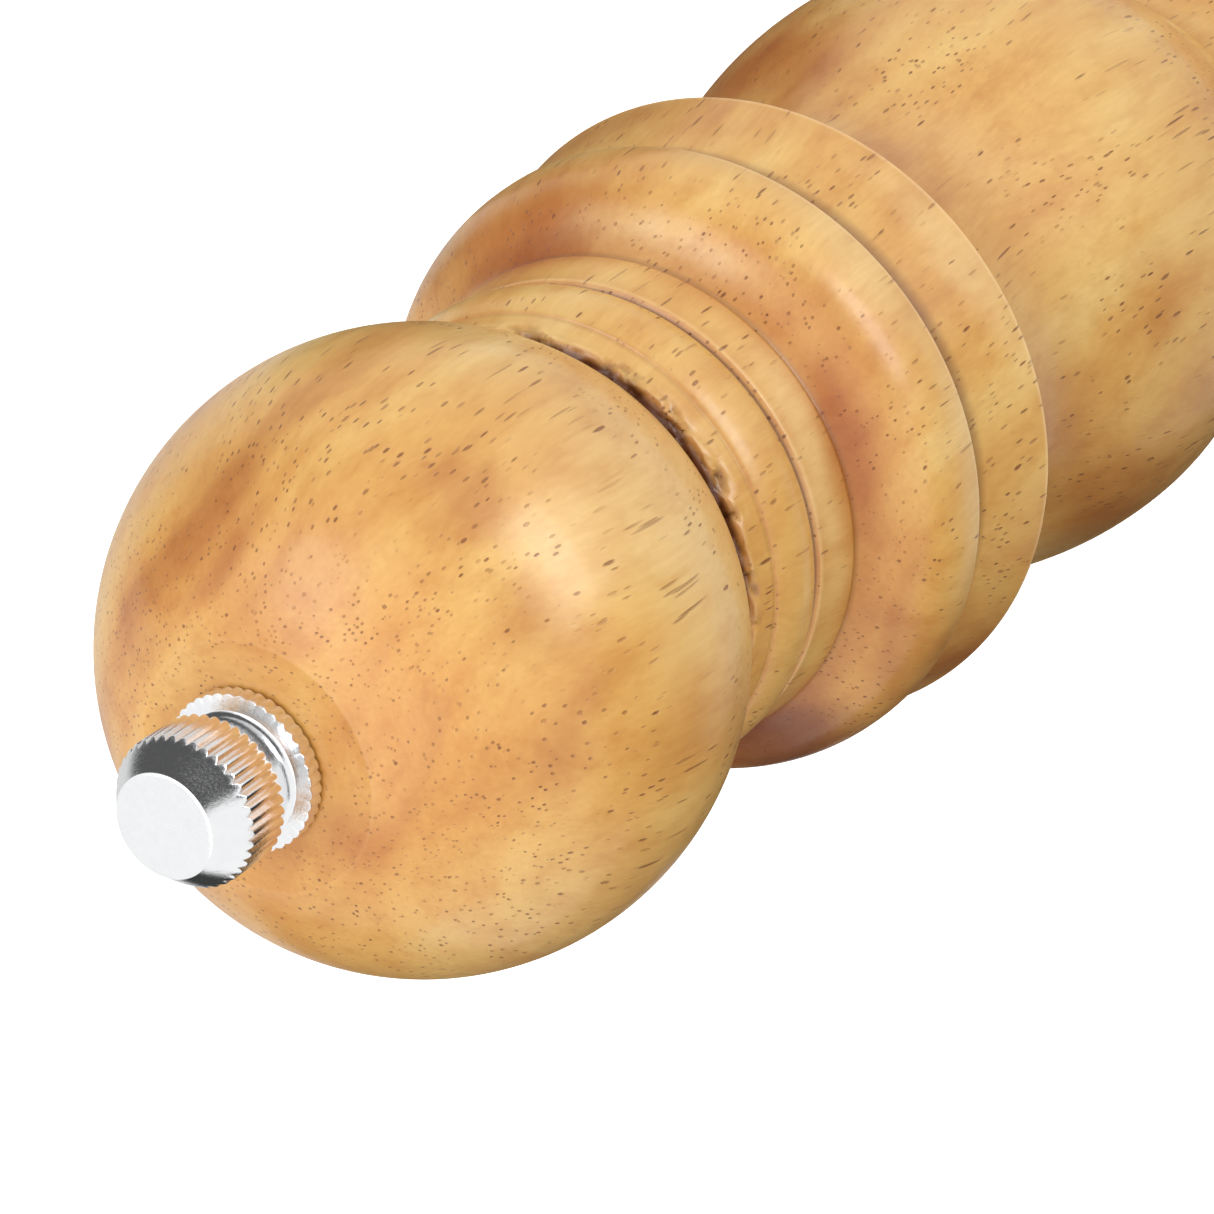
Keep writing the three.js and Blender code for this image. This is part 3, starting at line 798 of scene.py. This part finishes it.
def drive_shaft():
    """A round journal with the clip's groove, a long square bar, and a thread for the knob."""
    bottom = 1.6
    top = 211
    journal = 2.4  # a radius, as are the next three
    groove = 1.8
    neck = 2.1
    thread_root = 2.05
    groove_bottom = 4.95
    groove_top = 5.85
    bar_bottom = 6
    bar_top = 198.8
    thread_bottom = 200
    thread_top = 210.6
    sides = 96
    angles = around(sides)
    bar = square_bar(angles, 5, 0.6)
    levels = [(0, bottom), (journal - 0.3, bottom), (journal, bottom + 0.3)]
    levels += [(journal, groove_bottom - 0.02), (journal - 0.02, groove_bottom)]
    levels += [(groove, groove_bottom), (groove, groove_top), (journal - 0.02, groove_top)]
    levels += [(bar - 0.1, bar_bottom - 0.1), (bar, bar_bottom)]
    levels += [(bar, bar_bottom + (bar_top - bar_bottom) * i / 40) for i in range(1, 41)]
    levels += [(bar - 0.12, 199), (neck + 0.25, 199.05), (neck, 199.2), (neck, thread_bottom)]
    count = round((thread_top - thread_bottom) / THREAD_PITCH * 10)
    for i in range(count + 1):
        height = thread_bottom + 0.1 + (thread_top - thread_bottom - 0.3) * i / count
        depth = 0.35 * min(1, i / 8)
        radius = thread(angles, height, THREAD_PITCH, thread_root, thread_root + depth)
        levels.append((radius, height))
    levels += [(thread_root - 0.05, thread_top), (1.7, top), (0, top)]
    part("threaded_shaft", levels, sides, STEEL, "steel", "spindle", "drive_shaft")


def inner_burr():
    """A toothed cone that narrows faster above its bend, round a web with a square bore."""
    bottom = 5
    bend = 10.7
    top = 13.6
    skirt = 8  # radius of the hollow under the web
    well = 6.3  # radius of the hollow over the web
    web_bottom = 7
    web_top = 9.2
    twist = 0.25  # of each row of teeth, in radians
    teeth = 20
    sides = teeth * 16
    angles = around(sides)
    bore = square_hole(angles, KEYED_BORE)
    levels = [(skirt, bottom), (toothed(angles, teeth, 13.8, 13, 0) - 0.1, bottom)]
    for i in range(13):
        height = bottom + 0.1 + 5.6 * i / 12
        tip = 13.85 - BURR_SLOPE * (height - bottom)
        turn = twist * (height - bottom) / (bend - bottom)
        levels.append((toothed(angles, teeth, tip, tip - 0.8, turn), height))
    for i in range(1, 8):
        t = i / 7
        tip = 11.35 + (8.2 - 11.35) * t
        root = 10.55 + (7.5 - 10.55) * t
        height = bend + (top - bend) * t
        levels.append((toothed(angles, teeth, tip, root, twist + twist * t), height))
    levels += [(well + 0.15, top), (well, top - 0.15), (well, web_top + 0.1), (well - 0.1, web_top)]
    levels += [(bore + 0.1, web_top), (bore, web_top - 0.1)]
    levels += [(bore, web_bottom + 0.1), (bore + 0.1, web_bottom)]
    levels += [(skirt - 0.1, web_bottom), (skirt, web_bottom - 0.1)]
    part("toothed_rotor", levels, sides, BURR_STEEL, "burr_steel", "spindle", "inner_burr")


def outer_burr():
    """Teeth inside, and two notches outside for the dowels."""
    bottom = 4.7
    bend = 10.4
    top = 16.7
    outside = 17.7
    pin_circle = 17.85
    notch = 1.25  # radius of the notches
    notch_bottom = 9
    teeth = 24
    sides = teeth * 16
    angles = around(sides)
    aside = pin_circle * np.sin(np.abs(np.abs(angles - math.pi) - math.pi / 2))
    notched = pin_circle - np.sqrt(np.maximum(0, notch**2 - aside**2))
    notched = np.where(aside < notch, np.minimum(outside, notched), outside)
    levels = [(outside - 0.15, bottom), (outside, bottom + 0.15), (outside, notch_bottom - 0.05)]
    levels += [(notched, notch_bottom), (notched, top - 0.1), (notched - 0.1, top)]
    heights = [top - (top - bend) * i / 10 for i in range(11)]
    heights += [bend - (bend - bottom) * i / 12 for i in range(1, 13)]
    for height in heights:
        if height > bend:
            t = (height - bend) / 7.3
            crest = 12.5 + 1.2 * t
            groove = 13.3 + 0.8 * t
            twist = 0.2 + 0.2 * t
        else:
            crest = 12.5 + BURR_SLOPE * (bend - height)
            groove = crest + 0.8
            twist = 0.2 - 0.25 * (bend - height) / 6.7
        levels.append((toothed(angles, teeth, groove, crest, twist), height))
    part("toothed_ring", levels, sides, BURR_STEEL, "burr_steel", "mill_body", "outer_burr")


def guide_bush():
    """A flange under the bridge's hub, a sleeve through it, and a square bore for the shaft."""
    flange = 6
    sleeve = 4.4
    bottom = 15.6
    shoulder = 16.8
    top = 22
    sides = 96
    bore = square_hole(around(sides), KEYED_BORE)
    outline = [(flange - 0.1, bottom), (flange, bottom + 0.1), (flange, shoulder - 0.1)]
    outline += [(flange - 0.1, shoulder), (sleeve + 0.1, shoulder), (sleeve, shoulder + 0.1)]
    outline += [(sleeve, top - 0.4), (sleeve - 0.15, top - 0.15), (sleeve - 0.4, top)]
    outline += [(bore + 0.15, top), (bore, top - 0.15), (bore, bottom + 0.15), (bore + 0.15, bottom)]
    part("bush_with_square_bore", outline, sides, NYLON, "nylon", "guide", "guide_bush")


def grinder_spring():
    """A compression spring with a closed coil at each end. In the mill it shortens as the shaft rises;
    here it is built at one length.
    """
    mean = 5  # radius of the coil, to the middle of the wire
    wire = 0.5  # radius of the wire
    low = 9.9  # height of the wire's middle, as is high
    high = 14
    sides = 16
    steps = 240
    turns = 4.5
    rings = []
    for i in range(steps + 1):
        t = i / steps
        angle = 2 * math.pi * turns * t
        rise = smoothly(t, 0.16, 0.84) * 0.55 + min(1, max(0, (t - 0.2) / 0.6)) * 0.45
        height = low + (high - low) * rise
        thickness = wire * (0.35 + 0.65 * min(1, t * 60, (1 - t) * 60))
        out = np.array([math.cos(angle), math.sin(angle), 0])
        ring = [
            out * (mean + thickness * math.cos(a)) + (0, 0, height + thickness * math.sin(a))
            for a in around(sides)
        ]
        rings.append(ring)
    rings.insert(0, [np.mean(rings[0], axis=0)] * sides)
    rings.append([np.mean(rings[-1], axis=0)] * sides)
    spring = sweep("coil_spring", rings, closed=False)
    finish_mesh(spring, STEEL, "steel", "guide", "grinder_spring", smooth=60)
    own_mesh(spring)


def round_parts():
    """Washers and dowels."""
    flat = soft_corners([(3.9, 14.7), (5.9, 14.7), (5.9, 15.4), (3.9, 15.4)])
    part("flat_washer", flat, 64, STEEL, "steel", "guide", "spring_washer")
    glide = soft_corners([(14.6, 138.6), (22, 138.6), (22, 139), (14.6, 139)], 0.1)
    part("glide_ring", glide, 128, NYLON, "nylon", "mill_body", "glide_washer")
    for i in (1, 2):
        node = f"outer_burr_pin_{i}"
        centre, low, high = middle_of(node)
        dowel = [(0, low), (0.8, low), (1, low + 0.25), (1, high - 0.25), (0.8, high), (0, high)]
        part(f"dowel_{i}", dowel, 32, STEEL, "steel", "mill_body", node, centre)


def steel_and_nylon_parts():
    machined("turn_plate", "driving_plate", "head")
    machined("burr_bridge", "three_armed_bridge", "mill_body", 0.2)
    machined("retaining_bar", "foot_bar", "mill_body", 0.2)
    machined("thrust_washer", "keyed_washer", "spindle", 0.1)
    machined("burr_clip", "snap_ring", "spindle", 0.1)
    for i in (1, 2, 3):
        wood_screw(f"plate_screw_{i}", "head", f"turn_plate_screw_{i}", 2.1, 1.3, 1)
    for i in (1, 2):
        wood_screw(f"foot_screw_{i}", "mill_body", f"bar_screw_{i}", 2.7, 1.5, 1.2)
    drive_shaft()
    inner_burr()
    outer_burr()
    guide_bush()
    grinder_spring()
    round_parts()


# ---------------------------------------------------------------- studio

HEAD_CENTRE = Vector((0, 0, 0.18))
GLEAM_COLOUR = (0.86, 0.9, 1)  # of the lamps that only show in reflections


def direction(azimuth, elevation):
    a = math.radians(azimuth)
    e = math.radians(elevation)
    return Vector((math.cos(a) * math.cos(e), math.sin(a) * math.cos(e), math.sin(e)))


def stage_mesh(name, vertices, faces, material):
    mesh = bpy.data.meshes.new(name)
    mesh.from_pydata(vertices, [], faces)
    mesh.materials.append(material)
    obj = bpy.data.objects.new(name, mesh)
    bpy.context.scene.collection.objects.link(obj)
    return obj


def sheet(name, low, high, height, shade, glow):
    """A level sheet of paper under the mill, between two corners (x, y)."""
    corners = [(*low, height), (high[0], low[1], height), (*high, height), (low[0], high[1], height)]
    m = Material(name)
    m.surface(Base_Color=(shade, shade, shade, 1), Roughness=0.9)
    m.surface(Emission_Color=(1, 1, 1, 1), Emission_Strength=glow)
    return stage_mesh(name, corners, [(0, 1, 2, 3)], m.data)


def floor():
    """White paper for the camera, a grey sheet that bounces the light, and a dark one beside the mill."""
    top = sheet("white_floor", (-4, -4), (4, 4), 0, 0.9, 0.65)
    top.visible_diffuse = False
    top.visible_glossy = False
    top.visible_shadow = False
    bounce = sheet("bounce_floor", (-4, -4), (4, 4), -0.001, 0.6, 0)
    bounce.visible_camera = False
    dark = sheet("dark_floor", (-0.3, 0.01), (0.3, 0.125), -0.0005, 0.02, 0)
    dark.visible_camera = False
    dark.visible_shadow = False


def softbox(name, azimuth, elevation, distance, width, height, radiance, diffuse=True, glossy=True):
    """A rectangular lamp aimed at the head, hidden from the camera.

    Without diffuse it only shows in reflections, and without glossy it only lights the surfaces.
    """
    light = bpy.data.lights.new(name, "AREA")
    light.shape = "RECTANGLE"
    light.size = width
    light.size_y = height
    light.energy = radiance * math.pi * width * height
    light.color = (1, 1, 1) if diffuse else GLEAM_COLOUR
    obj = bpy.data.objects.new(name, light)
    bpy.context.scene.collection.objects.link(obj)
    towards = direction(azimuth, elevation)
    obj.location = HEAD_CENTRE + towards * distance
    obj.rotation_euler = towards.to_track_quat("Z", "Y").to_euler()
    obj.visible_camera = False
    obj.visible_diffuse = diffuse
    obj.visible_glossy = glossy


def screen(name, centre, distance, shade, edges):
    """A curved screen round the mill, hidden from the camera. It is black but for the glow of shade.

    edges = (azimuth, lower, upper elevation) in degrees.
    """
    vertices = []
    for azimuth, lower, upper in edges:
        vertices.append(centre + direction(azimuth, lower) * distance)
        vertices.append(centre + direction(azimuth, upper) * distance)
    faces = [(2 * i, 2 * i + 2, 2 * i + 3, 2 * i + 1) for i in range(len(edges) - 1)]
    m = Material(name)
    m.surface(Base_Color=(0, 0, 0, 1), Roughness=1.0, Specular_IOR_Level=0)
    m.surface(Emission_Color=(1, 1, 1, 1), Emission_Strength=shade)
    obj = stage_mesh(name, vertices, faces, m.data)
    obj.visible_camera = False
    obj.visible_shadow = False
    return obj


def studio():
    world = bpy.data.worlds.new("studio")
    bpy.context.scene.world = world
    world.use_nodes = True
    background = world.node_tree.nodes["Background"]
    background.inputs["Color"].default_value = (1, 1, 1, 1)
    background.inputs["Strength"].default_value = 1.0
    floor()
    softbox("key", -22, 49, 0.9, 0.4, 0.4, 1.1)
    softbox("key_gleam", -22, 49, 0.9, 0.4, 0.4, 5.6, diffuse=False)
    softbox("front", -96, -12, 0.6, 0.6, 0.3, 3.3, glossy=False)
    softbox("front_gleam", -92, -5, 0.55, 0.36, 0.17, 5.4, diffuse=False)
    softbox("overhead", 200, 84, 0.9, 1.0, 1.0, 1.0)
    # a white card on the -X side, which does not light the surfaces and only shows in reflections
    low_card = screen(
        "low_card",
        Vector((0, 0, 0.21)),
        0.2,
        1.0,
        [(i, -26, 4) for i in range(140, 186, 15)],
    )
    low_card.visible_diffuse = False
    # a dark wall on the camera's side, in reflections only
    camera_side = screen(
        "camera_side",
        HEAD_CENTRE,
        0.8,
        0.1,
        [(48, -22, 20), (30, -18, 26), (0, -6, 30), (-30, 3, 30), (-60, 9, 32), (-110, 11, 34)],
    )
    camera_side.visible_diffuse = False
    # a dark wall that darkens the -X side
    screen(
        "shade_side",
        Vector((0, 0, 0.14)),
        0.25,
        0.05,
        [(i, -50, 20 if i < 160 else 8) for i in range(105, 256, 15)],
    )


# ---------------------------------------------------------------- camera

def camera():
    """Looks down on the knob end from above, rolled so that the mill lies across the picture."""
    lens = 148.3
    azimuth = 0.16  # in degrees, as are the next two
    elevation = 51.39  # how steeply it looks down
    roll = -126.27
    distance = 0.3532
    aim = Vector((-0.00594, -0.0269, 0.19352))
    data = bpy.data.cameras.new("camera")
    data.lens = lens
    data.sensor_width = 36
    data.clip_start = 0.01
    obj = bpy.data.objects.new("camera", data)
    bpy.context.scene.collection.objects.link(obj)
    turn = (
        Matrix.Rotation(math.radians(azimuth), 4, "Z")
        @ Matrix.Rotation(math.radians(90 - elevation), 4, "X")
        @ Matrix.Rotation(math.radians(roll), 4, "Z")
    )
    obj.matrix_world = Matrix.Translation(aim + turn @ Vector((0, 0, distance))) @ turn
    bpy.context.scene.camera = obj


# ---------------------------------------------------------------- assembly

wooden_parts()
finial_nut()
steel_and_nylon_parts()
studio()
camera()
bpy.context.scene.view_settings.view_transform = "Standard"
